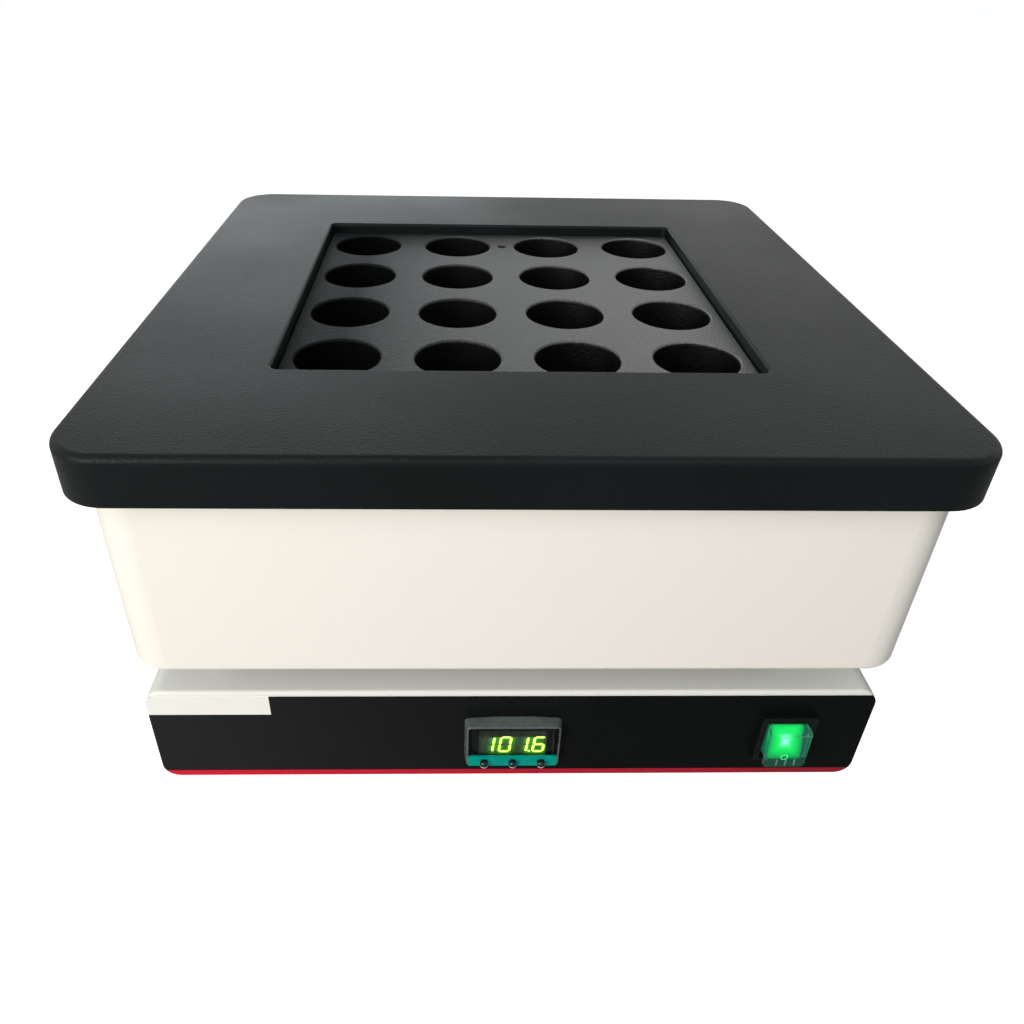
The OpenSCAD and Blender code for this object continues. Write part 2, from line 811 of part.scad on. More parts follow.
// Screws down through the base's top and up through its bottom into the rear panel's lips
module rear_screw_places() {
    x = base_w / 2 - 3 * base_r;
    y = panel_y - panel_lip / 2;
    for (sx = [-1, 0, 1]) {
        translate([sx * x, y, base_top]) children();
        translate([sx * x, y, base_z]) mirror([0, 0, 1]) children();
    }
}

panel_lip = 12;
panel_mid = base_z + base_h / 2;

module rear_panel() {
    w = base_w - 2 * sheet_t - 2 * pass_fit;
    h = base_h - 2 * sheet_t - 2 * pass_fit;
    slot_w = 4;
    slot_l = 30;
    slot_pitch = 10;
    vent_x = -base_w / 4;
    color("#f4f0e6") difference() {
        union() {
            on_back(0, panel_mid, panel_y) slab(w, h, plate_t, base_r - sheet_t - pass_fit);
            for (s = [-1, 1]) translate([0, panel_y - panel_lip / 2 + eps, panel_mid + s * (h - plate_t) / 2])
                cube([w - 4 * base_r, panel_lip, plate_t], center = true);
        }
        rear_screw_places() translate([0, 0, -sheet_t - pass_fit - plate_t - 1])
            cylinder(d = screw_d, h = plate_t + 2);
        on_back(inlet_x, inlet_z, panel_y - 1) slab(inlet_body_w + 2 * pass_fit, inlet_body_h + 2 * pass_fit,
            plate_t + 2, 2);
        for (s = [-1, 1]) on_back(inlet_x + s * inlet_screws / 2, inlet_z, panel_y - 1)
            cylinder(d = screw_d, h = plate_t + 2);
        on_back(0, panel_mid, panel_y - 1) cylinder(d = earth_d + 2 * run_fit, h = plate_t + 2);
        for (k = [-4:4]) on_back(vent_x + k * slot_pitch, panel_mid, panel_y - 1)
            slab(slot_w, slot_l, plate_t + 2, slot_w / 2 - eps);
    }
}

inlet_body_w = 28;
inlet_body_h = 46;
earth_d = 5;

// The same screw holds the service plate and the rear panel
module panel_screws() {
    color("silver") {
        service_screw_places() translate([0, 0, base_z]) mirror([0, 0, 1]) panel_screw();
        rear_screw_places() panel_screw();
    }
}

module panel_screw() {
    screw(screw_d - 2 * run_fit, sheet_t + pass_fit + plate_t + 2, head_d, head_h);
}

module rubber_feet() {
    color("#202020") four(foot_x, foot_y) difference() {
        cylinder(d1 = foot_d - 3, d2 = foot_d, h = foot_h);
        translate([0, 0, -1]) cylinder(d = head_d + 2, h = foot_h / 2 + 1);
        translate([0, 0, -1]) cylinder(d = screw_d + 2 * run_fit, h = foot_h + 2);
    }
}

module foot_screws() {
    color("silver") four(foot_x, foot_y) translate([0, 0, foot_h / 2]) mirror([0, 0, 1])
        screw(screw_d, foot_h / 2 + sheet_t + 3, head_d, head_h / 2);
}

// ---- Front film ----

// Face of the base as seen from the front
module face_outline() {
    inset = 0.3;
    outline(base_w - 2 * inset, base_h - 2 * inset, base_r - inset);
}

// Part of the face between the heights z0 and z1 and the sides x0 and x1, as a film
module film(x0, x1, z0, z1) {
    on_front(0, base_z + base_h / 2) linear_extrude(film_t) intersection() {
        face_outline();
        translate([x0, z0 - base_h / 2]) square([x1 - x0, z1 - z0]);
    }
}

film_top = base_h - film_margin;
field_x = -base_w / 2 + field_w;

module front_film() {
    color("#16181a") difference() {
        union() {
            film(-base_w / 2, base_w / 2, stripe_h, film_top - field_h);
            film(field_x, base_w / 2, film_top - field_h - eps, film_top);
        }
        panel_openings();
    }
}

module white_field() {
    color("#f6f4ee") film(-base_w / 2, field_x, film_top - field_h, film_top);
}

module red_stripe() {
    color("#c81e3c") film(-base_w / 2, base_w / 2, 0, stripe_h);
}

// ---- Controller ----

// Turns a controller piece, drawn about its centre, to stand on the film
module on_film(x, z) {
    on_front(x, z, film_y) children();
}

module controller_bezel() {
    front_w = bezel_w - 2 * bezel_draft;
    front_h = bezel_h - bezel_draft;
    edge = 0.6;
    arch_h = 6;
    color("#8b9095") on_film(0, controller_z) difference() {
        hull($fn = 32) {
            slab(bezel_w, bezel_h, eps, bezel_r);
            translate([0, bezel_h / 2 + bezel_arch - arch_h / 2, 0]) slab(bezel_w / 2, arch_h, eps, bezel_r);
            translate([0, 0, bezel_t - edge]) slab(front_w, front_h, eps, bezel_r);
            translate([0, 0, bezel_t - eps]) slab(front_w - 2 * edge, front_h - 2 * edge, eps, bezel_r);
        }
        translate([0, 0, -1]) slab(cavity_w, cavity_h, window_back + 1, 1);
        translate([0, window_z, window_back]) slab(window_w, window_h, bezel_t, 1.5);
        translate([0, strip_z, strip_back])
            slab(strip_w + 2 * run_fit, strip_h + 2 * run_fit, strip_t + 1, 1);
        for (k = [-1:1]) translate([k * key_pitch, key_z, 0]) cylinder(d = pocket_d, h = bezel_t + 1);
    }
}

strip_w = bezel_w - 2 * bezel_draft - 1.8;

module display_window() {
    color("#303c38", 0.5) on_film(0, controller_z) translate([0, window_z, window_back])
        slab(window_w - 2 * run_fit, window_h - 2 * run_fit, window_t, 1.5 - run_fit);
}

module display_modules() {
    seam = 0.2;
    color("#5a6660") on_film(0, controller_z) for (s = [-1, 1])
        translate([s * module_w / 2, (display_top + display_low) / 2, board_face])
            linear_extrude(module_t) square([module_w - seam, display_top - display_low], center = true);
}

module display_board() {
    color("#1d5a35") on_film(0, controller_z) translate([0, 0, board_face - board_t])
        linear_extrude(board_t) square([cavity_w - pass_fit, cavity_h - pass_fit], center = true);
}

module key_strip() {
    color("#00968a") on_film(0, controller_z) translate([0, strip_z, strip_back]) difference() {
        slab(strip_w, strip_h, strip_t, 1 - run_fit);
        for (k = [-1:1]) translate([k * key_pitch, key_z - strip_z, -1])
            cylinder(d = key_d + 2 * run_fit, h = strip_t + 2);
    }
}

// Key number k, from -1 at the left to 1 at the right: a pin with a domed end, a lip below the
// strip and a thinner stem down to its switch
module key(k) {
    dome_r = key_d * 0.6;
    top = bezel_t + key_out;
    lip_z = strip_back - lip_gap - key_lip;
    color("#c9ced0") on_film(k * key_pitch, controller_z) translate([0, key_z, 0]) {
        intersection() {
            translate([0, 0, lip_z]) cylinder(d = key_d, h = top - lip_z);
            union() {
                translate([0, 0, top - dome_r]) sphere(dome_r);
                translate([0, 0, lip_z - 1]) cylinder(d = key_d + 2, h = top - dome_r - lip_z + 1);
            }
        }
        translate([0, 0, lip_z]) cylinder(d = key_d + 2 * key_lip, h = key_lip);
        translate([0, 0, key_rest]) cylinder(d = key_stem_d, h = lip_z - key_rest + eps);
    }
}

module key_left() {
    key(-1);
}

module key_middle() {
    key(0);
}

module key_right() {
    key(1);
}

module key_switches() {
    color("#202020") for (k = [-1:1]) on_film(k * key_pitch, controller_z)
        translate([0, key_z, board_face + key_switch_h / 2])
            cube([key_switch_w, key_switch_w, key_switch_h], center = true);
}

module controller_case() {
    color("#1b1c1e") on_film(0, controller_z) translate([0, 0, -case_l]) difference() {
        linear_extrude(case_l) square([case_w, case_h], center = true);
        translate([0, 0, case_wall])
            linear_extrude(case_l) square([cavity_w, cavity_h], center = true);
    }
}

module controller_clip() {
    clip_w = 4;
    color("#2c2d30") on_front(0, controller_z, front_y + sheet_t) translate([0, 0, -clip_t]) difference() {
        linear_extrude(clip_t) square([case_w + 2 * clip_w, case_h + 2 * clip_w], center = true);
        translate([0, 0, -1])
            linear_extrude(clip_t + 2) square([case_w + 2 * pass_fit, case_h + 2 * pass_fit], center = true);
    }
}

// ---- Rocker switch ----

module switch_frame() {
    corner = 2;
    color("#18191b") difference() {
        union() {
            on_film(switch_x, switch_z) slab(frame_w, frame_h, frame_out, corner);
            on_film(switch_x, pivot_z) translate([0, 0, -switch_depth])
                linear_extrude(switch_depth + eps) square([body_w, body_h], center = true);
        }
        on_film(switch_x, pivot_z) {
            translate([0, 0, -switch_cavity]) linear_extrude(switch_cavity + frame_out + 1)
                square([frame_bore_w, frame_bore_h], center = true);
            translate([-body_w, 0, -pivot_depth]) rotate([0, 90, 0])
                cylinder(d = pivot_d + 2 * run_fit, h = 2 * body_w);
        }
    }
}

// Section of the rocker, from its pivot: first its reach out of the panel, then its height. When it
// is on, its upper end lies level with the frame and its long face stands parallel to the panel
low_reach = 13.7;
ridge_reach = 16.6;
top_reach = 12.1;
rocker_ridge = 7.6;
rocker_shift = 2.1;
rocker_lip = 0.8;
rocker_top = rocker_l / 2 - rocker_shift;
rocker_low = rocker_l / 2 + rocker_shift;
rocker_section = [[3, 5], [-2, rocker_top], [-top_reach, rocker_top], [-ridge_reach, rocker_ridge],
    [-low_reach, -rocker_low], [rocker_lip - low_reach, -rocker_low],
    [rocker_lip - low_reach, -rocker_top], [-2, -rocker_top], [3, -5]];

module switch_rocker() {
    rib_pitch = 4.7;
    rib_d = 1;
    rib_rise = 0.3;
    rib_gap = 1.2;
    corner = 3;
    color("#7fe8a8", 0.7) translate([switch_x, film_y + pivot_depth, pivot_z])
        rotate([-rocker_tilt, 0, 0]) {
            intersection() {
                rotate([90, 0, 90]) linear_extrude(rocker_w, center = true) polygon(rocker_section);
                rotate([90, 0, 0]) translate([0, -rocker_shift, -pivot_depth])
                    slab(rocker_w, rocker_l, ridge_reach + pivot_depth + 1, corner);
            }
            rotate([0, 90, 0]) cylinder(d = pivot_d, h = body_w - 2 * run_fit, center = true);
            for (k = [-1:1]) translate([k * rib_pitch, -low_reach - rib_rise, rib_gap - rocker_low])
                cylinder(d = rib_d, h = 4.5);
        }
}

module switch_lamp() {
    color("#30ff80") on_film(switch_x, pivot_z) translate([0, 0, -switch_cavity]) cylinder(d = 4, h = lamp_h);
}

module switch_terminals() {
    color("gold") on_film(switch_x, pivot_z) for (sx = [-1, 1], sy = [-1, 1])
        translate([sx * 6, sy * 9, -switch_depth - 5]) cube([6.3, 0.8, 10], center = true);
}

// ---- Mains inlet with its fuse drawer ----

// Shape of the mains connector: a rectangle with two cut corners
module socket_outline() {
    cut = 4.5;
    polygon([[-socket_w / 2, -socket_h / 2], [socket_w / 2, -socket_h / 2],
        [socket_w / 2, socket_h / 2 - cut], [socket_w / 2 - cut, socket_h / 2],
        [-socket_w / 2 + cut, socket_h / 2], [-socket_w / 2, socket_h / 2 - cut]]);
}

module on_inlet() {
    on_back(inlet_x, inlet_z, back_y) children();
}

module mains_inlet() {
    color("#1a1b1d") on_inlet() difference() {
        union() {
            slab(inlet_w, inlet_h, inlet_t, 3);
            translate([0, 0, -inlet_body]) slab(inlet_body_w, inlet_body_h, inlet_body + eps, 1.5);
        }
        translate([0, socket_up, inlet_t - socket_depth]) linear_extrude(socket_depth + 1) socket_outline();
        translate([0, -drawer_down, inlet_t - drawer_l - pass_fit])
            linear_extrude(drawer_l + pass_fit + 1)
                square([drawer_w + 2 * pass_fit, drawer_h + 2 * pass_fit], center = true);
        for (s = [-1, 1]) translate([s * inlet_screws / 2, 0, -1])
            cylinder(d = screw_d + 2 * run_fit, h = inlet_t + 2);
        inlet_pin_shapes(run_fit);
    }
}

// The three pins of the inlet, made larger by grow on every side
module inlet_pin_shapes(grow) {
    pin_w = 2;
    pin_h = 4;
    spread = 7;
    lift = 2;
    out = 14;
    tab = 8;
    l = out + tab + inlet_body + inlet_t - socket_depth;
    for (p = [[-spread, -lift], [0, lift], [spread, -lift]])
        translate([p[0], socket_up + p[1], inlet_t - socket_depth + out - l / 2])
            cube([pin_w + 2 * grow, pin_h + 2 * grow, l + 2 * grow], center = true);
}

module inlet_pins() {
    color("gold") on_inlet() inlet_pin_shapes(0);
}

module inlet_screws_pair() {
    color("silver") on_inlet() for (s = [-1, 1]) translate([s * inlet_screws / 2, 0, inlet_t])
        screw(screw_d - 2 * run_fit, inlet_t + plate_t + 3, head_d, head_h);
}

fuse_d = 5;
fuse_l = 13;
fuse_end = 0.5;

module fuse_drawer() {
    grip = 0.8;
    color("#26282b") on_inlet() translate([0, -drawer_down, inlet_t]) difference() {
        union() {
            translate([0, 0, -drawer_l / 2]) cube([drawer_w, drawer_h, drawer_l], center = true);
            slab(drawer_w + 2, drawer_h + 1, drawer_face, 1);
        }
        for (s = [-1, 1]) translate([s * drawer_w / 4, 0, -drawer_l - 1])
            cylinder(d = fuse_d + 2 * run_fit, h = 1 + fuse_end + fuse_l);
        translate([0, 0, drawer_face - grip]) linear_extrude(1) square([drawer_w / 2, 3], center = true);
    }
}

module fuses() {
    color("silver") on_inlet() for (s = [-1, 1])
        translate([s * drawer_w / 4, -drawer_down, inlet_t - drawer_l + fuse_end])
            cylinder(d = fuse_d, h = fuse_l);
}

// ---- Electrical parts on the service plate ----

inner_z = base_z + sheet_t + plate_t;
sink_w = 74;
sink_d = 84;
sink_h = 30;
sink_x = -base_w / 4;
sink_y = base_d / 8;
sink_base = 5;
relay_w = 45;
relay_d = 58;
relay_h = 16;
block_strip_w = 40;
block_strip_d = 24;
block_strip_h = 16;
block_strip_z = inner_z + block_strip_h;

module heat_sink() {
    fins = 9;
    fin_t = 2;
    color("#b4b8bb") translate([sink_x, sink_y, inner_z]) {
        translate([0, 0, sink_h - sink_base / 2]) cube([sink_w, sink_d, sink_base], center = true);
        for (k = [0 : fins - 1])
            translate([-sink_w / 2 + fin_t / 2 + k * (sink_w - fin_t) / (fins - 1), 0, sink_h / 2])
                cube([fin_t, sink_d, sink_h], center = true);
    }
}

relay_hole = 47.6;
relay_screw_d = 4;
relay_head_d = 7;
relay_head_h = 3;

module relay() {
    head_room = 1;
    color("#efe9d2") translate([sink_x, sink_y, inner_z + sink_h]) difference() {
        slab(relay_w, relay_d, relay_h, 2);
        for (s = [-1, 1]) translate([0, s * relay_hole / 2, 0]) {
            translate([0, 0, -1]) cylinder(d = relay_screw_d + 2 * run_fit, h = relay_h + 2);
            translate([0, 0, relay_h / 2]) cylinder(d = relay_head_d + 2 * head_room, h = relay_h);
        }
    }
}

module relay_screws() {
    color("silver") translate([sink_x, sink_y, inner_z + sink_h + relay_h / 2])
        for (s = [-1, 1]) translate([0, s * relay_hole / 2, 0])
            screw(relay_screw_d, relay_h / 2, relay_head_d, relay_head_h);
}

module terminal_block() {
    ways = 4;
    way = block_strip_w / ways;
    color("ivory") translate([0, conduit_y, inner_z]) difference() {
        translate([0, 0, block_strip_h / 2])
            cube([block_strip_w, block_strip_d, block_strip_h], center = true);
        for (k = [0 : ways - 1], s = [-1, 1])
            translate([-block_strip_w / 2 + way * (k + 0.5), s * block_strip_d / 3, block_strip_h - 5])
                cylinder(d = 5, h = 6);
    }
}

module earth_stud() {
    color("gold") on_back(0, panel_mid) {
        translate([0, 0, -plate_t - 10]) cylinder(d = earth_d, h = plate_t + 18);
        cylinder(d = 2 * earth_d, h = 3, $fn = 6);
    }
}

// ---- The assembly ----

top_cover();
cover_studs();
cover_nuts();
cover_gasket();
heating_block();
block_base();
heater_plate();
heater_terminals();
clamp_plate();
clamp_screws();
ceramic_standoffs();
standoff_screws();
side_insulation();
floor_insulation();
block_sensor();
sensor_lead();
heater_leads();
limit_thermostat();
housing_shell();
housing_floor();
floor_screws();
pillars();
pillar_bolts();
pillar_nuts();
conduit();
grommets();
base_shell();
service_plate();
rear_panel();
panel_screws();
rubber_feet();
foot_screws();
front_film();
white_field();
red_stripe();
controller_case();
controller_clip();
controller_bezel();
display_window();
display_modules();
display_board();
key_strip();
key_left();
key_middle();
key_right();
key_switches();
switch_frame();
switch_rocker();
switch_lamp();
switch_terminals();
mains_inlet();
inlet_pins();
inlet_screws_pair();
fuse_drawer();
fuses();
relay();
relay_screws();
heat_sink();
terminal_block();
earth_stud();
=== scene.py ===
"""Block digester: the looks of the part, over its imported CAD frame."""
import json
import math

import bmesh
import bpy
from mathutils import Matrix, Vector


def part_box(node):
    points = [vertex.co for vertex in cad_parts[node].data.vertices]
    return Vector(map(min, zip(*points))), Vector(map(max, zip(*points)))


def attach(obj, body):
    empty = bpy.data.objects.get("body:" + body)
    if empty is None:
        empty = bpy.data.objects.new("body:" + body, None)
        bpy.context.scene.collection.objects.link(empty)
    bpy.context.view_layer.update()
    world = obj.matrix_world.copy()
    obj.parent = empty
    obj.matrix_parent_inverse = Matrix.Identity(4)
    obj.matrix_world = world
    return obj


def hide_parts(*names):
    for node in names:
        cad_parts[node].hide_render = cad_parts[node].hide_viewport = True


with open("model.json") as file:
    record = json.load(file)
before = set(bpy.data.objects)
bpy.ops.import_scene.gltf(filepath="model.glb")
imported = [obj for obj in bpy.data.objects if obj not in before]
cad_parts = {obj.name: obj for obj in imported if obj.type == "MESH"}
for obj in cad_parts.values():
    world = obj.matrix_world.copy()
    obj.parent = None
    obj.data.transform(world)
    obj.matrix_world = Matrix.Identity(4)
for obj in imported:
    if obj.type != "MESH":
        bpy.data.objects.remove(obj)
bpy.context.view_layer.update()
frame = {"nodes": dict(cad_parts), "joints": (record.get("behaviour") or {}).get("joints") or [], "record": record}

NODES = frame["nodes"]
MM = 0.001


# ---- Materials ----

# Heights where a colour changes: the painted shade in the wells, the darker, cooler white below the housing, the
# painted reflection on the lower half of the keys
BLOCK_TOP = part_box("heating_block")[1][2]
HOUSING_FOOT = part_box("housing_shell")[0][2]
KEY_MID = (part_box("key_left")[0][2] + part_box("key_left")[1][2]) / 2
WELL_PAINTED_SHADE = (0.003, 0.0035, 0.0035)
WELL_SHADE_GLOSS = 0.1  # share of the gloss that is left in a well's painted shade
NOISE_BAND = (0.3, 0.7)  # the values of a noise that a colour or a roughness runs over
MOTTLE_DETAIL = 3.0
SMUDGE_DETAIL = 4.0


class Surface:
    """A node material built round one Principled shader."""

    def __init__(self, name, color, rough, metallic=0.0, **inputs):
        self.mat = bpy.data.materials.new(name)
        self.mat.use_nodes = True
        self.tree = self.mat.node_tree
        self.shader = self.tree.nodes["Principled BSDF"]
        self.shader.inputs["Base Color"].default_value = (*color, 1.0)
        self.shader.inputs["Roughness"].default_value = rough
        self.shader.inputs["Metallic"].default_value = metallic
        for key, value in inputs.items():
            self.shader.inputs[key.replace("_", " ")].default_value = value
        self.color = color
        self.rough = rough
        self.normal = None
        self.where = self.node("ShaderNodeTexCoord").outputs["Object"]

    def node(self, kind, **settings):
        node = self.tree.nodes.new(kind)
        for key, value in settings.items():
            setattr(node, key, value)
        return node

    def link(self, a, b):
        self.tree.links.new(a, b)

    def noise(self, scale, detail, stretch=None):
        """Noise whose grains are about 1/scale metres wide, drawn out where stretch is below 1."""
        noise = self.node("ShaderNodeTexNoise")
        noise.inputs["Scale"].default_value = scale
        noise.inputs["Detail"].default_value = detail
        where = self.where
        if stretch:
            mapping = self.node("ShaderNodeMapping")
            mapping.inputs["Scale"].default_value = stretch
            self.link(where, mapping.inputs["Vector"])
            where = mapping.outputs["Vector"]
        self.link(where, noise.inputs["Vector"])
        return noise.outputs["Fac"]

    def ramp(self, factor, low, high, start=0.0, end=1.0):
        """A colour or value that runs from low to high as factor goes from start to end."""
        span = self.node("ShaderNodeMapRange")
        span.inputs["From Min"].default_value = start
        span.inputs["From Max"].default_value = end
        self.link(factor, span.inputs["Value"])
        if isinstance(low, (int, float)):
            span.inputs["To Min"].default_value = low
            span.inputs["To Max"].default_value = high
            return span.outputs["Result"]
        mix = self.node("ShaderNodeMix", data_type="RGBA")
        mix.inputs["A"].default_value = (*low, 1.0)
        mix.inputs["B"].default_value = (*high, 1.0)
        self.link(span.outputs["Result"], mix.inputs["Factor"])
        return mix.outputs["Result"]

    def mottle(self, scale, spread):
        """Colour that varies by the share spread."""
        low = tuple(c * (1 - spread) for c in self.color)
        high = tuple(min(1.0, c * (1 + spread)) for c in self.color)
        color = self.ramp(self.noise(scale, MOTTLE_DETAIL), low, high, *NOISE_BAND)
        self.link(color, self.shader.inputs["Base Color"])
        return self

    def smudge(self, scale, spread):
        """Roughness that varies by spread to either side."""
        low, high = self.rough - spread, self.rough + spread
        rough = self.ramp(self.noise(scale, SMUDGE_DETAIL), low, high, *NOISE_BAND)
        self.link(rough, self.shader.inputs["Roughness"])
        return self

    def grain(self, scale, strength, depth, detail=2.0, stretch=None):
        """Bump of the given depth in metres."""
        bump = self.node("ShaderNodeBump")
        bump.inputs["Strength"].default_value = strength
        bump.inputs["Distance"].default_value = depth
        self.link(self.noise(scale, detail, stretch), bump.inputs["Height"])
        if self.normal:
            self.link(self.normal, bump.inputs["Normal"])
        self.normal = bump.outputs["Normal"]
        self.link(self.normal, self.shader.inputs["Normal"])
        return self

    def shade(self, low_z, high_z, color):
        """Paints shade from high_z down to low_z, as inside a deep well, by taking colour and gloss away."""
        height = self.node("ShaderNodeSeparateXYZ")
        self.link(self.where, height.inputs["Vector"])
        span = self.ramp(height.outputs["Z"], 1.0, 0.0, low_z, high_z)
        mix = self.node("ShaderNodeMix", data_type="RGBA")
        mix.inputs["B"].default_value = (*color, 1.0)
        self.link(span, mix.inputs["Factor"])
        self.link(self.shader.inputs["Base Color"].links[0].from_socket, mix.inputs["A"])
        self.link(mix.outputs["Result"], self.shader.inputs["Base Color"])
        gloss = self.node("ShaderNodeMath", operation="MULTIPLY")
        self.link(self.shader.inputs["Specular IOR Level"].links[0].from_socket, gloss.inputs[0])
        self.link(self.ramp(span, 1.0, WELL_SHADE_GLOSS), gloss.inputs[1])
        self.link(gloss.outputs["Value"], self.shader.inputs["Specular IOR Level"])
        return self

    def along(self, axis, name, low, high, start, end):
        """Runs a value or colour of the shader from low to high along an axis of the part."""
        place = self.node("ShaderNodeSeparateXYZ")
        self.link(self.where, place.inputs["Vector"])
        self.link(self.ramp(place.outputs[axis], low, high, start, end), self.shader.inputs[name])
        return self

    def glow(self, attribute, strength, least=0.0):
        """Light that follows a value stored in the mesh."""
        value = self.node("ShaderNodeAttribute", attribute_name=attribute).outputs["Fac"]
        self.link(self.ramp(value, least, strength), self.shader.inputs["Emission Strength"])
        return self

    def hue(self, attribute, low, high):
        """Colour of the light that follows a value stored in the mesh."""
        value = self.node("ShaderNodeAttribute", attribute_name=attribute).outputs["Fac"]
        self.link(self.ramp(value, low, high), self.shader.inputs["Emission Color"])
        return self


def make_materials():
    """Every material of the part: the record's slots by name, and those of the pieces added here.

    The runs along X stand in for light that comes from one side, and their last two numbers are places in metres.
    """
    made = {}

    def add(name, *args, **kw):
        made[name] = Surface(name, *args, **kw)
        return made[name]

    enamel = add("black_enamel", (0.005, 0.007, 0.0075), 0.37, IOR=1.2)
    enamel.mottle(14, 0.15).smudge(9, 0.04).grain(1200, 0.7, 0.0003)
    white = add("white_enamel", (0.87, 0.845, 0.785), 0.3, Specular_IOR_Level=0.35)
    white.smudge(30, 0.01)
    # Darker, cooler white on the base, below the housing's foot
    white.along("Z", "Base Color", (0.81, 0.82, 0.78), white.color, HOUSING_FOOT - 5 * MM, HOUSING_FOOT - MM)
    block = add("block_metal", (0.010, 0.012, 0.013), 0.38, IOR=1.6)
    block.mottle(60, 0.2).grain(900, 1.0, 0.0008, 6.0)
    block.along("X", "Specular IOR Level", 0.04, 1.0, -0.09, 0.08)
    block.along("X", "Roughness", 0.50, 0.34, -0.09, 0.05)
    # Painted shade: the wells turn near black and lose most of their gloss below the block's top
    block.shade(BLOCK_TOP - 2 * MM, BLOCK_TOP - 0.3 * MM, WELL_PAINTED_SHADE)
    add("aluminium", (0.70, 0.71, 0.72), 0.34, 1.0).smudge(80, 0.06).grain(600, 0.1, 0.0001, stretch=(1, 1, 0.05))
    add("plated_steel", (0.66, 0.67, 0.68), 0.28, 1.0).mottle(120, 0.06).smudge(150, 0.08)
    add("seal", (0.22, 0.05, 0.03), 0.7).mottle(90, 0.1).grain(800, 0.2, 0.0002)
    add("heater_mica", (0.40, 0.32, 0.18), 0.5).mottle(70, 0.25).grain(200, 0.2, 0.0002)
    add("ceramic", (0.75, 0.71, 0.60), 0.4).mottle(100, 0.05).grain(500, 0.1, 0.0001)
    add("insulation", (0.78, 0.77, 0.72), 0.95).mottle(200, 0.08).grain(500, 0.8, 0.0008, 6.0)
    add("lead", (0.62, 0.59, 0.52), 0.6).mottle(300, 0.06).grain(900, 0.1, 0.0001)
    add("rubber", (0.018, 0.018, 0.018), 0.75).mottle(120, 0.2).grain(900, 0.3, 0.0002)
    film = add("dark_film", (0.005, 0.006, 0.006), 0.33, IOR=1.2)
    film.mottle(20, 0.12).smudge(60, 0.04).grain(1500, 0.1, 0.00005)
    film.along("X", "Specular IOR Level", 1.0, 0.1, -0.18, 0.04)
    add("white_film", (0.88, 0.87, 0.83), 0.35).mottle(30, 0.01).smudge(60, 0.04)
    red = add("red_film", (0.60, 0.006, 0.028), 0.35, IOR=1.2)
    red.smudge(60, 0.04)
    red.along("X", "Base Color", (0.66, 0.009, 0.035), (0.30, 0.011, 0.024), -0.16, 0.17)
    add("black_plastic", (0.004, 0.005, 0.005), 0.42, IOR=1.2).mottle(150, 0.15).grain(1400, 0.2, 0.0001)
    add("bezel_plastic", (0.085, 0.105, 0.105), 0.28, IOR=1.35).mottle(120, 0.06).smudge(200, 0.05)
    window = add("window_plastic", (0.62, 0.70, 0.66), 0.03, Transmission_Weight=1.0, IOR=1.2)
    window.mottle(100, 0.02).smudge(100, 0.02)
    add("display_plastic", (0.08, 0.10, 0.085), 0.35, IOR=1.3).mottle(300, 0.1)
    add("circuit_board", (0.004, 0.008, 0.006), 0.4, IOR=1.3).mottle(200, 0.2)
    add("teal_film", (0.0, 0.29, 0.24), 0.3, IOR=1.15).mottle(150, 0.05).smudge(200, 0.05)
    keys = add("key_plastic", (0.10, 0.11, 0.115), 0.12, 0.6)
    keys.smudge(400, 0.03)
    # Painted reflection: white below the key's middle, as of the bright floor, near black above
    keys.along("Z", "Base Color", (1.0, 1.0, 1.0), (0.02, 0.02, 0.02), KEY_MID - 0.6 * MM, KEY_MID)
    clear = add("rocker_plastic", (0.80, 0.96, 0.90), 0.06, Transmission_Weight=1.0, IOR=1.14,
                Emission_Color=(0.012, 0.09, 0.062, 1), Emission_Strength=0.3)
    clear.mottle(300, 0.03).smudge(300, 0.03)
    add("rocker_rib_and_highlight", (0.10, 0.30, 0.20), 0.15).mottle(300, 0.05)
    ring = add("rocker_ring", (0.05, 0.30, 0.12), 0.3,
               Emission_Color=(0.07, 0.95, 0.30, 1), Emission_Strength=0.9)
    ring.mottle(300, 0.05)
    lens = add("rocker_glow", (0.0, 0.12, 0.03), 0.25, IOR=1.02)
    lens.mottle(100, 0.05).glow("glow", 1.0, 0.06).hue("heart", (0.0, 0.80, 0.10), (0.42, 1.0, 1.0))
    add("digit_unlit", (0.10, 0.13, 0.115), 0.3).mottle(300, 0.1)
    lit = add("digit_lit", (0.6, 0.8, 0.2), 0.4,
              Emission_Color=(0.72, 1.0, 0.14, 1), Emission_Strength=2.2)
    lit.mottle(300, 0.05)
    glow = add("display_glow", (0.045, 0.06, 0.05), 0.3, Emission_Color=(0.12, 0.62, 0.0, 1))
    glow.mottle(300, 0.1).glow("glow", 1.0)
    add("lamp_lens", (0.10, 0.90, 0.35), 0.2).mottle(200, 0.05)
    add("brass", (0.75, 0.53, 0.22), 0.3, 1.0).mottle(150, 0.08).smudge(200, 0.08)
    add("fuse_glass", (0.8, 0.82, 0.83), 0.1, 0.5).mottle(200, 0.1)
    add("relay_plastic", (0.70, 0.66, 0.53), 0.45).mottle(150, 0.03).grain(900, 0.1, 0.0001)
    add("terminal_plastic", (0.74, 0.71, 0.62), 0.4).mottle(150, 0.03).grain(900, 0.1, 0.0001)
    return made


def dress_nodes(materials):
    """Gives every CAD node the material of its slot."""
    for part in frame["record"]["subparts"]:
        piece = NODES[part["node"]]
        for slot in piece.material_slots:
            slot.material = materials[part["material_slot"]].mat


# ---- Mesh helpers ----

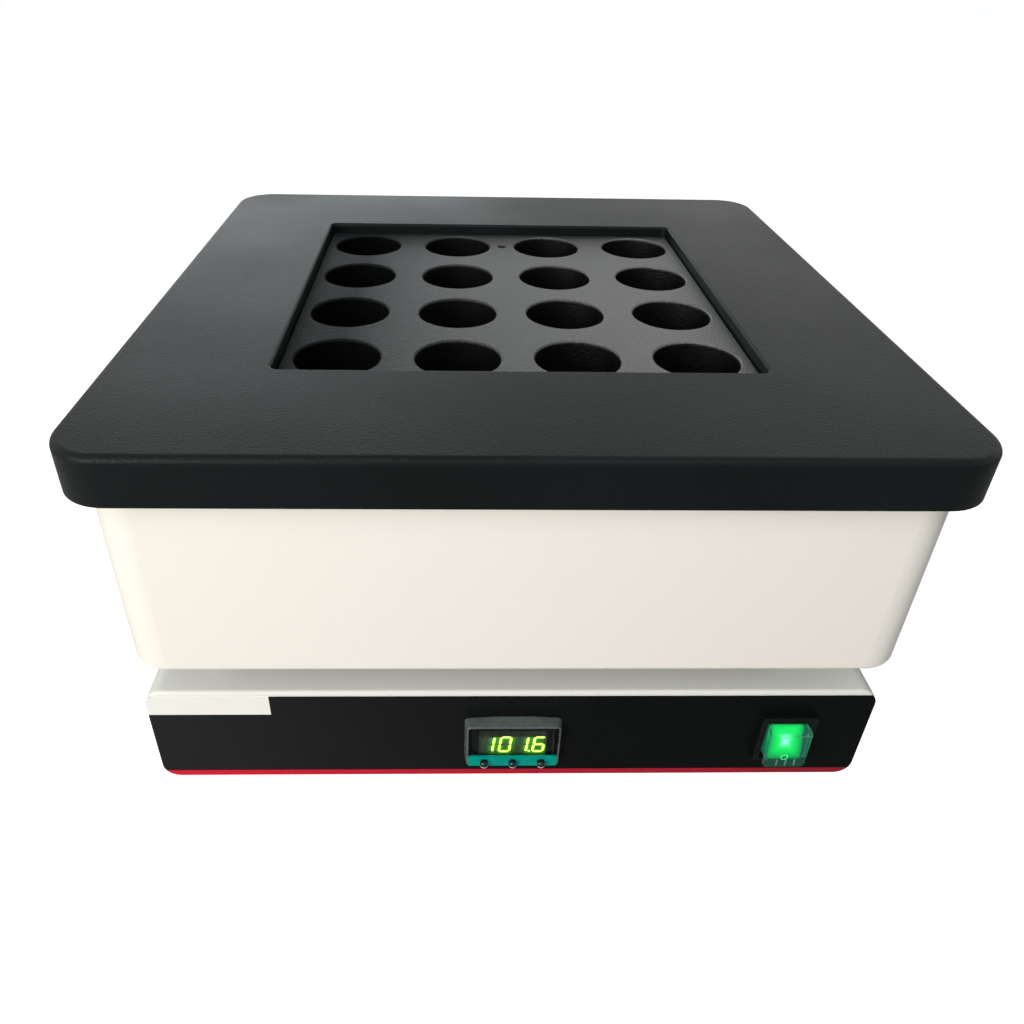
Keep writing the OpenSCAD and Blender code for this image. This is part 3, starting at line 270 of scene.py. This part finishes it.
def new_piece(name, bm, material, body="digester", smooth=30):
    """An object made from a bmesh, with faces smooth up to the given angle."""
    bmesh.ops.recalc_face_normals(bm, faces=bm.faces)
    mesh = bpy.data.meshes.new(name)
    bm.to_mesh(mesh)
    bm.free()
    piece = bpy.data.objects.new(name, mesh)
    bpy.context.scene.collection.objects.link(piece)
    mesh.materials.append(materials[material].mat)
    for face in mesh.polygons:
        face.use_smooth = smooth > 0
    if smooth > 0:
        mesh.set_sharp_from_angle(angle=math.radians(smooth))
    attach(piece, body)
    return piece


def bridge(bm, a, b):
    """Joins two rings of equally many points with a band of faces."""
    for k in range(len(a)):
        after = (k + 1) % len(a)
        bm.faces.new((a[k], a[after], b[after], b[k]))


def prism(bm, outline, start, end, place):
    """Adds a solid with the given outline in its own x and y, from z = start to z = end.

    place turns a point of its own frame into the part's frame.
    """
    low, high = [[bm.verts.new(place(x, y, z)) for x, y in outline] for z in (start, end)]
    bm.faces.new(low[::-1])
    bm.faces.new(high)
    bridge(bm, low, high)


def rounded(w, h, r, steps=6):
    """Outline of a rectangle with round corners, about its centre."""
    points = []
    for k, (sx, sy) in enumerate(((1, 1), (-1, 1), (-1, -1), (1, -1))):
        for j in range(steps + 1):
            angle = math.radians(90 * (k + j / steps))
            points.append((sx * (w / 2 - r) + r * math.cos(angle), sy * (h / 2 - r) + r * math.sin(angle)))
    return points


# ---- Display of the controller ----

SEGMENTS = {  # places in half widths and half heights of the digit, and whether it stands upright
    "a": (0, 1, False), "b": (1, 0.5, True), "c": (1, -0.5, True), "d": (0, -1, False),
    "e": (-1, -0.5, True), "f": (-1, 0.5, True), "g": (0, 0, False)}
DIGITS = ("bc", "abcdef", "bc.", "acdefg")
DIGIT_PITCH = 9.1 * MM
DIGIT_SHIFT = 0.5 * MM
DIGIT_LIFT = 1.0 * MM
DIGIT_W = 5.5 * MM
DIGIT_H = 11.2 * MM
BAR_T = 1.35 * MM
BAR_GAP = 0.12 * MM
BAR_RISE = 0.12 * MM
SLANT = math.tan(math.radians(6))
POINT_AT = (4.5 * MM, -5.4 * MM)
POINT_SIDES = 12
GLOW_REACH = 1.4 * MM
GLOW_STEP = 0.4 * MM
GLOW_EDGE = 0.15 * MM


def bar_outline(cx, cy, upright, slanted=True):
    """Six-sided bar of one digit segment."""
    half = (DIGIT_H / 4 if upright else DIGIT_W / 2) - BAR_GAP
    t = BAR_T / 2
    shape = [(-half, 0), (t - half, -t), (half - t, -t), (half, 0), (half - t, t), (t - half, t)]
    if upright:
        shape = [(-y, x) for x, y in shape]
    return [(cx + x + (cy + y) * SLANT, cy + y) for x, y in shape]


def digit_shapes():
    """Outlines of the lit and the unlit bars of all digits, about the display's centre."""
    lit, unlit = [], []
    for k, on in enumerate(DIGITS):
        x0 = (k - 1.5) * DIGIT_PITCH + DIGIT_SHIFT
        for name, (sx, sy, upright) in SEGMENTS.items():
            shape = bar_outline(sx * DIGIT_W / 2, sy * DIGIT_H / 2, upright)
            (lit if name in on else unlit).append([(x0 + x, y) for x, y in shape])
        px, py = POINT_AT
        dot = [(x0 + px + py * SLANT + BAR_T / 2 * math.cos(a), py + BAR_T / 2 * math.sin(a))
               for a in (math.tau * j / POINT_SIDES for j in range(POINT_SIDES))]
        (lit if "." in on else unlit).append(dot)
    return lit, unlit


def distance_to(x, y, outline):
    """Distance from a point to an outline, 0 inside it."""
    best = 1.0
    inside = True
    count = len(outline)
    for k in range(count):
        (ax, ay), (bx, by) = outline[k], outline[(k + 1) % count]
        dx, dy = bx - ax, by - ay
        if dx * (y - ay) - dy * (x - ax) < 0:
            inside = False
        t = max(0.0, min(1.0, ((x - ax) * dx + (y - ay) * dy) / (dx * dx + dy * dy)))
        best = min(best, math.hypot(x - ax - t * dx, y - ay - t * dy))
    return 0.0 if inside else best


def add_display():
    """The lit and the unlit bars of the digits, and the glow round the lit ones."""
    low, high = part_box("display_modules")
    face_y = low[1]
    cz = (low[2] + high[2]) / 2 + DIGIT_LIFT
    lit, unlit = digit_shapes()

    def place(x, y, z):
        return (x, face_y - z, cz + y)

    for name, shapes, material, rise in (("digit_bars_lit", lit, "digit_lit", BAR_RISE),
                                         ("digit_bars_unlit", unlit, "digit_unlit", BAR_RISE * 0.5)):
        bm = bmesh.new()
        for shape in shapes:
            prism(bm, shape, BAR_RISE * 0.2, rise, place)
        new_piece(name, bm, material, smooth=0)

    # Face of the two modules, with the green light that spreads round the lit bars
    bm = bmesh.new()
    glow = bm.verts.layers.float.new("glow")
    mid = (low[0] + high[0]) / 2
    height = high[2] - low[2] - 2 * GLOW_EDGE
    for side in (-1, 1):
        x0, x1 = sorted((mid + side * GLOW_EDGE, low[0] + GLOW_EDGE if side < 0 else high[0] - GLOW_EDGE))
        nx, ny = round((x1 - x0) / GLOW_STEP), round(height / GLOW_STEP)
        rows = []
        for j in range(ny + 1):
            row = []
            for i in range(nx + 1):
                x = x0 + (x1 - x0) * i / nx
                y = low[2] + GLOW_EDGE + height * j / ny - cz
                vert = bm.verts.new(place(x, y, BAR_RISE * 0.15))
                near = min(distance_to(x, y, shape) for shape in lit)
                vert[glow] = math.exp(-near / GLOW_REACH)
                row.append(vert)
            rows.append(row)
        for j in range(ny):
            for i in range(nx):
                bm.faces.new((rows[j][i], rows[j][i + 1], rows[j + 1][i + 1], rows[j + 1][i]))
    new_piece("display_faces", bm, "display_glow", smooth=0)


# ---- Rocker ----

# Sizes of the level rocker about its pivot: x goes across, the reach comes out of the panel, and z goes up
ROCKER_W = 22.8 * MM
ROCKER_TOP = 11.8 * MM
ROCKER_LOW = -16.0 * MM
RIDGE_Z = 7.6 * MM
RIDGE_REACH = 16.6 * MM
TOP_REACH = 12.1 * MM
LOW_REACH = 13.7 * MM
ROCKER_LIP = 0.8 * MM
ROCKER_EDGE = 0.5 * MM
ROCKER_NECK = 11.6 * MM
ROCKER_WALL = 0.9 * MM
ROCKER_CORNER = 3.0 * MM
ROCKER_TILT = math.radians(9)
NECK_LOW = -2.5 * MM
LENS_HALF = (9.2 * MM, 10.6 * MM)
LENS_SHIFT = -0.4 * MM
LENS_REACH = (12.2 * MM, 10.0 * MM)  # at its lower and upper end
LENS_FADE = (8.2 * MM, 9.8 * MM)  # where the glow ends at the sides and at the lower end
LENS_FADE_POWER = 4
LENS_STEPS = 14
LAMP_REACH = 2.9 * MM
RIB_PITCH = 4.8 * MM
RIB_SHIFT = 0.5 * MM
RIB_SIZE = (0.7 * MM, 4.6 * MM)
RIB_RISE = 0.3 * MM
RIB_SINK = 0.2 * MM
RIB_TAPER = 0.25 * MM
RIB_Z = -12.1 * MM
# Painted highlight along the ridge: its span across, and its height and rise
RIDGE_HIGHLIGHT_X = (1.5 * MM, 11.0 * MM)
RIDGE_HIGHLIGHT_SIZE = (0.45 * MM, 0.12 * MM)
MARK_AT = (-0.9 * MM, -8.0 * MM)
MARK_R = 2.0 * MM
MARK_T = 0.4 * MM
MARK_RISE = (0.02 * MM, 0.08 * MM)
MARK_SIDES = 32


def rocker_place():
    """Turns a point of the level rocker (x across, y out of the panel, z up, about the pivot) to rest."""
    hinge = next(joint for joint in frame["joints"] if joint["name"] == "rocker_hinge")
    pivot = Vector(hinge["pos_m"])
    turn = Matrix.Rotation(-ROCKER_TILT, 3, "X")
    return lambda x, y, z: pivot + turn @ Vector((x, -y, z))


def crown(z, drop=0.0):
    """Reach of the rocker's face at height z: one long face up to the ridge, and a short one above it."""
    if z > RIDGE_Z:
        share, end = (z - RIDGE_Z) / (ROCKER_TOP - RIDGE_Z), TOP_REACH
    else:
        share, end = (RIDGE_Z - z) / (RIDGE_Z - ROCKER_LOW), LOW_REACH
    return RIDGE_REACH + (end - RIDGE_REACH) * share - drop


def lip(z):
    """Reach of the back of the lip that stands out round the rocker's face."""
    return min(LOW_REACH, crown(z)) - ROCKER_LIP


def ridged(w, low, high, r):
    """Outline of a rectangle with round corners, and with a point at the ridge on each side."""
    outline = [(x, z + (low + high) / 2) for x, z in rounded(w, high - low, r)]
    points = []
    for (ax, az), (bx, bz) in zip(outline, outline[1:] + outline[:1]):
        points.append((ax, az))
        if (az - RIDGE_Z) * (bz - RIDGE_Z) < 0:
            points.append((ax + (bx - ax) * (RIDGE_Z - az) / (bz - az), RIDGE_Z))
    return points


def skin(bm, layers, place):
    """Joins outlines of equal length, each with its own reach, into one skin, and returns its rings."""
    rings = []
    for outline, reach in layers:
        rings.append([bm.verts.new(place(x, reach(z) if callable(reach) else reach, z)) for x, z in outline])
    for a, b in zip(rings, rings[1:]):
        bridge(bm, a, b)
    return rings


def half_width(outline, z):
    """Half width of a symmetric round-cornered outline at height z."""
    best = 0.0
    for (ax, az), (bx, bz) in zip(outline, outline[1:] + outline[:1]):
        if (ax <= 0 and bx <= 0) or (az - z) * (bz - z) > 1e-14:
            continue
        if abs(bz - az) < 1e-9:
            best = max(best, ax, bx)
        else:
            best = max(best, ax + (bx - ax) * (z - az) / (bz - az))
    return best


def crowned_sheet(bm, outline, drop, place):
    """Closes an outline with the crowned face, in strips that fold at the ridges."""
    heights = sorted({round(z, 7) for _, z in outline})
    strips = []
    for z in heights:
        half = half_width(outline, z)
        strips.append([bm.verts.new(place(side * half, crown(z, drop), z)) for side in (-1, 1)])
    for a, b in zip(strips, strips[1:]):
        bm.faces.new((a[0], a[1], b[1], b[0]))


def add_cap(place):
    """Clear cap: the face, its rim, and the neck that reaches into the switch, with the hollow inside."""
    outer = ridged(ROCKER_W, ROCKER_LOW, ROCKER_TOP, ROCKER_CORNER)
    inset = ridged(ROCKER_W - 2 * ROCKER_EDGE, ROCKER_LOW + ROCKER_EDGE, ROCKER_TOP - ROCKER_EDGE,
                   ROCKER_CORNER - ROCKER_EDGE)
    neck_w = ROCKER_W - 2 * ROCKER_EDGE
    neck = ridged(neck_w, -ROCKER_NECK, ROCKER_NECK, ROCKER_CORNER - ROCKER_EDGE)
    hollow = ROCKER_NECK - ROCKER_WALL
    inner = ridged(neck_w - 2 * ROCKER_WALL, -hollow, hollow, ROCKER_CORNER - ROCKER_WALL)
    bm = bmesh.new()
    skin(bm, [(inner, lambda z: crown(z, ROCKER_WALL * 2)), (inner, NECK_LOW), (neck, NECK_LOW), (neck, lip),
              (outer, lip), (outer, lambda z: crown(z, ROCKER_EDGE)), (inset, crown)], place)
    crowned_sheet(bm, inner, ROCKER_WALL * 2, place)
    crowned_sheet(bm, inset, 0, place)
    bmesh.ops.remove_doubles(bm, verts=bm.verts, dist=1e-6)
    cap = new_piece("rocker_cap", bm, "rocker_plastic", "rocker", 20)
    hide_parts("switch_rocker")


def lens_reach(z):
    """Reach of the lens at height z: a flat face that leans from its lower to its upper end."""
    low, top = LENS_REACH
    return (low + top) / 2 + (top - low) / 2 * z / LENS_HALF[1]


def add_lens(place):
    """Green lens in the hollow of the cap, brightest over the lamp."""
    bm = bmesh.new()
    glow = bm.verts.layers.float.new("glow")
    heart = bm.verts.layers.float.new("heart")
    half_w, half_h = LENS_HALF
    sides = [(x + LENS_SHIFT, z) for x, z in rounded(2 * half_w, 2 * half_h, ROCKER_CORNER - ROCKER_WALL)]
    low_ring, top_ring = skin(bm, [(sides, NECK_LOW), (sides, lens_reach)], place)
    rings = [top_ring]
    for k in range(1, LENS_STEPS):
        share = 1 - k / LENS_STEPS
        shape = [(LENS_SHIFT + (x - LENS_SHIFT) * share, z * share) for x, z in sides]
        rings.append([bm.verts.new(place(x, lens_reach(z), z)) for x, z in shape])
        for vert, (x, z) in zip(rings[-1], shape):
            across = ((x - LENS_SHIFT) / LENS_FADE[0]) ** LENS_FADE_POWER
            along = max(0.0, -z / LENS_FADE[1]) ** LENS_FADE_POWER
            vert[glow] = math.exp(-across - along)
            vert[heart] = math.exp(-(math.hypot(x - LENS_SHIFT, z) / LAMP_REACH) ** 2)
    for a, b in zip(rings, rings[1:]):
        bridge(bm, a, b)
    bm.faces.new(rings[-1])
    bm.faces.new(low_ring[::-1])
    new_piece("rocker_lens", bm, "rocker_glow", "rocker", 20)


def add_ribs_and_highlight(place):
    """Grip ribs at the lower end of the cap, and a thin strip along its ridge as a painted highlight."""
    bm = bmesh.new()
    for k in (-1, 0, 1):
        rings = []
        for shrink, rise in ((0, -RIB_SINK), (0, RIB_RISE * 0.6), (RIB_TAPER, RIB_RISE)):
            width = RIB_SIZE[0] - shrink
            shape = rounded(width, RIB_SIZE[1] - shrink, width / 2 * 0.95)
            rings.append([bm.verts.new(place(RIB_SHIFT + k * RIB_PITCH + x, crown(RIB_Z + z) + rise, RIB_Z + z))
                          for x, z in shape])
        for a, b in zip(rings, rings[1:]):
            bridge(bm, a, b)
        bm.faces.new(rings[0][::-1])
        bm.faces.new(rings[-1])
    # Painted highlight: a thin strip along the right half of the ridge, where the clear cap's edge catches light
    (x0, x1), (tall, rise) = RIDGE_HIGHLIGHT_X, RIDGE_HIGHLIGHT_SIZE
    prism(bm, [(x0, -tall / 2), (x1, -tall / 2), (x1, tall / 2), (x0, tall / 2)], -rise, rise,
          lambda x, y, z: place(x, RIDGE_REACH + z, RIDGE_Z + y))
    new_piece("rocker_ribs_and_highlight", bm, "rocker_rib_and_highlight", "rocker", 40)


def add_mark(place):
    """Ring mark on the lower face of the cap."""
    bm = bmesh.new()
    low, high = MARK_RISE
    rings = []
    for radius, rise in ((MARK_R - MARK_T, low), (MARK_R - MARK_T * 0.9, high),
                         (MARK_R - MARK_T * 0.1, high), (MARK_R, low)):
        ring = []
        for k in range(MARK_SIDES):
            x = MARK_AT[0] + radius * math.cos(math.tau * k / MARK_SIDES)
            z = MARK_AT[1] + radius * math.sin(math.tau * k / MARK_SIDES)
            ring.append(bm.verts.new(place(x, crown(z) + rise, z)))
        rings.append(ring)
    for a, b in zip(rings, rings[1:] + rings[:1]):
        bridge(bm, a, b)
    new_piece("rocker_mark", bm, "rocker_ring", "rocker", 40)


def add_rocker():
    """The clear rocker in place of the solid one, with its lens, ribs, painted ridge highlight and mark."""
    place = rocker_place()
    add_cap(place)
    add_lens(place)
    add_ribs_and_highlight(place)
    add_mark(place)


# ---- Camera, lights, floor and background ----

# The camera that the outlines of the cover, the housing and the base were fitted to
CAMERA_AT = (-0.03212, -0.48089, 0.39950)
CAMERA_YAW = -0.031112
CAMERA_PITCH = -0.580433
CAMERA_ROLL = 0.021503
FOCAL_PX = 834.78
CENTRE_PX = (475.97, 485.47)
PICTURE_PX = 1024
SENSOR_MM = 36


# Name, place, aim, size, power and colour of each lamp
LAMPS = (
    ("key", (-1.1, -1.4, 0.75), (0, 0, 0.12), (1.0, 0.8), 25.5, (1.0, 0.965, 0.91)),
    ("front", (0.0, -1.2, 1.8), (0, 0, 0.12), (1.4, 0.8), 8, (1.0, 1.0, 1.0)),
    ("back", (-0.7, 2.6, 0.7), (-0.1, 0.1, 0.2), (1.6, 0.4), 5, (0.85, 0.97, 1.0)))
AMBIENT_COLOR = (0.93, 0.97, 1.0, 1)
AMBIENT = 0.235
FLOOR_HALF = 40.0
FLOOR_COLOR = (0.60, 0.60, 0.60, 1)
FLOOR_LIFT = 0.86  # what the camera sees added to the lit floor, which keeps the part's shadow


def add_camera():
    """The camera of the photo, with its shift and roll."""
    data = bpy.data.cameras.new("camera")
    camera = bpy.data.objects.new("camera", data)
    bpy.context.scene.collection.objects.link(camera)
    ahead = Vector((-math.sin(CAMERA_YAW) * math.cos(CAMERA_PITCH),
                    math.cos(CAMERA_YAW) * math.cos(CAMERA_PITCH), math.sin(CAMERA_PITCH)))
    right = Vector((math.cos(CAMERA_YAW), math.sin(CAMERA_YAW), 0))
    up = right.cross(ahead)
    right, up = (right * math.cos(CAMERA_ROLL) + up * math.sin(CAMERA_ROLL),
                 up * math.cos(CAMERA_ROLL) - right * math.sin(CAMERA_ROLL))
    camera.matrix_world = Matrix((right, up, -ahead)).transposed().to_4x4()
    camera.location = CAMERA_AT
    data.sensor_width = SENSOR_MM
    data.lens = FOCAL_PX * SENSOR_MM / PICTURE_PX
    data.shift_x = 0.5 - CENTRE_PX[0] / PICTURE_PX
    data.shift_y = CENTRE_PX[1] / PICTURE_PX - 0.5
    data.clip_start = 0.01
    bpy.context.scene.camera = camera


def add_lamp(name, at, towards, size, power, color):
    """Soft rectangular lamp at one place, aimed at another."""
    data = bpy.data.lights.new(name, "AREA")
    data.shape = "RECTANGLE"
    data.size, data.size_y = size
    data.energy = power
    data.color = color
    lamp = bpy.data.objects.new(name, data)
    bpy.context.scene.collection.objects.link(lamp)
    lamp.location = at
    lamp.rotation_euler = (Vector(towards) - Vector(at)).to_track_quat("-Z", "Y").to_euler()


def add_background():
    """World that is white where it is seen, also in gloss and through clear plastic, and dimmer as a light."""
    world = bpy.data.worlds.new("studio")
    world.use_nodes = True
    bpy.context.scene.world = world
    tree = world.node_tree
    tree.nodes.clear()
    path = tree.nodes.new("ShaderNodeLightPath")
    seen = path.outputs["Is Camera Ray"]
    for ray in ("Is Glossy Ray", "Is Transmission Ray"):
        either = tree.nodes.new("ShaderNodeMath")
        either.operation = "MAXIMUM"
        tree.links.new(seen, either.inputs[0])
        tree.links.new(path.outputs[ray], either.inputs[1])
        seen = either.outputs["Value"]
    white = tree.nodes.new("ShaderNodeBackground")
    white.inputs["Color"].default_value = (1, 1, 1, 1)
    ambient = tree.nodes.new("ShaderNodeBackground")
    ambient.inputs["Color"].default_value = AMBIENT_COLOR
    ambient.inputs["Strength"].default_value = AMBIENT
    mix = tree.nodes.new("ShaderNodeMixShader")
    out = tree.nodes.new("ShaderNodeOutputWorld")
    tree.links.new(seen, mix.inputs["Fac"])
    tree.links.new(ambient.outputs["Background"], mix.inputs[1])
    tree.links.new(white.outputs["Background"], mix.inputs[2])
    tree.links.new(mix.outputs["Shader"], out.inputs["Surface"])


def add_floor():
    """Pale floor that the camera sees as near white, with the part's shadow on it."""
    corners = [(x * FLOOR_HALF, y * FLOOR_HALF, 0) for x, y in ((-1, -1), (1, -1), (1, 1), (-1, 1))]
    mesh = bpy.data.meshes.new("floor")
    mesh.from_pydata(corners, [], [(0, 1, 2, 3)])
    floor = bpy.data.objects.new("floor", mesh)
    bpy.context.scene.collection.objects.link(floor)
    mat = bpy.data.materials.new("floor")
    mat.use_nodes = True
    tree = mat.node_tree
    shader = tree.nodes["Principled BSDF"]
    shader.inputs["Base Color"].default_value = FLOOR_COLOR
    shader.inputs["Roughness"].default_value = 0.9
    shader.inputs["Specular IOR Level"].default_value = 0.0
    shader.inputs["Emission Color"].default_value = (1, 1, 1, 1)
    path = tree.nodes.new("ShaderNodeLightPath")
    lift = tree.nodes.new("ShaderNodeMath")
    lift.operation = "MULTIPLY"
    lift.inputs[1].default_value = FLOOR_LIFT
    tree.links.new(path.outputs["Is Camera Ray"], lift.inputs[0])
    tree.links.new(lift.outputs["Value"], shader.inputs["Emission Strength"])
    mesh.materials.append(mat)


bpy.context.scene.view_settings.view_transform = "Standard"
materials = make_materials()
dress_nodes(materials)
add_display()
add_rocker()
add_camera()
for lamp in LAMPS:
    add_lamp(*lamp)
add_background()
add_floor()
